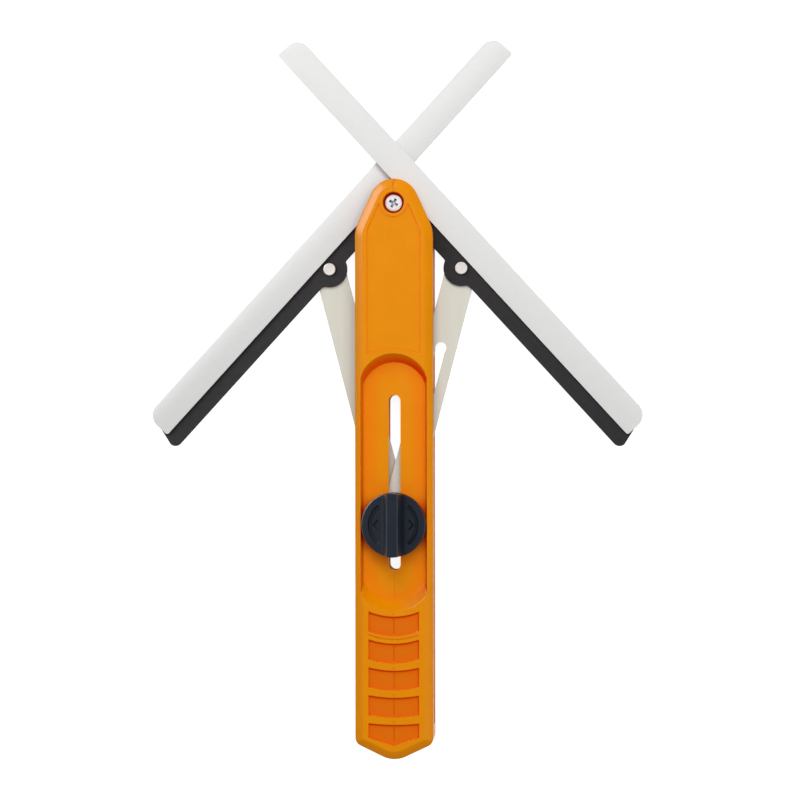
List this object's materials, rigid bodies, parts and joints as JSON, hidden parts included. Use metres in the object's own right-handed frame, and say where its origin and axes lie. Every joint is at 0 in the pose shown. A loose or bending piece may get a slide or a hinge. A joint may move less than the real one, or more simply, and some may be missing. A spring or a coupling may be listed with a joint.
{
  "type": "sliding bevel",
  "caption": "Sliding bevel with two mirrored blades that open together from a moulded handle and lock with a knob on a slotted track.",
  "frame": {"origin": "on the pivot screw's axis, at the handle's flat back face", "axes": "+Y along the handle towards the nose, +Z out of the knob side, +X to the right as seen from the knob side"},
  "size_m": [0.2418, 0.3516, 0.0351],
  "materials": {
    "orange_plastic": "fine moulded satin",
    "white_blade": "white powder coat",
    "black_steel": "black oxide, satin",
    "bare_steel": "rolled strip, fine grain",
    "zinc_steel": "bright zinc plate",
    "rivet_steel": "turned bright steel",
    "brass": "turned",
    "black_plastic": "satin moulded"
  },
  "bodies": {
    "handle": {"front_shell": "orange_plastic", "rear_shell": "orange_plastic", "pivot_screw": "zinc_steel", "pivot_nut": "zinc_steel", "pivot_bush": "zinc_steel", "pivot_washer_front": "zinc_steel", "pivot_spacer": "zinc_steel", "pivot_washer_rear": "zinc_steel", "tail_screw_left": "zinc_steel", "tail_screw_right": "zinc_steel"},
    "front_arm": {"front_blade": "white_blade", "front_arm_rail": "black_steel", "front_rivet": "rivet_steel"},
    "rear_arm": {"rear_blade": "white_blade", "rear_arm_rail": "black_steel", "rear_rivet": "rivet_steel"},
    "clamp": {"clamp_bolt": "zinc_steel", "clamp_washer": "zinc_steel", "rear_washer": "zinc_steel", "front_link_bush": "zinc_steel", "link_spacer": "zinc_steel"},
    "knob": {"clamp_knob": "black_plastic", "knob_insert": "brass"},
    "front_link": {"front_link": "bare_steel", "front_rivet_cap": "rivet_steel"},
    "rear_link": {"rear_link": "bare_steel", "rear_rivet_cap": "rivet_steel"}
  },
  "joints": [
    {"name": "front_arm_swing", "type": "hinge", "parent": "handle", "child": "front_arm", "pos_m": [0, 0, 0.0118], "axis": [0, 0, 1], "range_deg": [-42.5, 17.5]},
    {"name": "rear_arm_swing", "type": "hinge", "parent": "handle", "child": "rear_arm", "pos_m": [0, 0, 0.0118], "axis": [0, 0, 1], "range_deg": [-17.5, 42.5]},
    {"name": "clamp_slide", "type": "slide", "parent": "handle", "child": "clamp", "axis": [0, 1, 0], "range_m": [-0.01828, 0.00754]},
    {"name": "front_link_swing", "type": "hinge", "parent": "clamp", "child": "front_link", "pos_m": [0, -0.15682, 0.0118], "axis": [0, 0, 1], "range_deg": [-4.56, 11.06]},
    {"name": "rear_link_swing", "type": "hinge", "parent": "clamp", "child": "rear_link", "pos_m": [0, -0.15682, 0.0118], "axis": [0, 0, 1], "range_deg": [-11.06, 4.56]},
    {"name": "knob_turn", "type": "hinge", "parent": "clamp", "child": "knob", "pos_m": [0, -0.15682, 0.0273], "axis": [0, 0, 1], "range_deg": [0, 180]}
  ],
  "couplings": [
    {"joint": "rear_arm_swing", "follows": "front_arm_swing", "ratio": -1},
    {"joint": "clamp_slide", "follows": "front_arm_swing", "m_per_rad": 0.024637},
    {"joint": "front_link_swing", "follows": "front_arm_swing", "ratio": -0.26},
    {"joint": "rear_link_swing", "follows": "front_arm_swing", "ratio": 0.26}
  ]
}
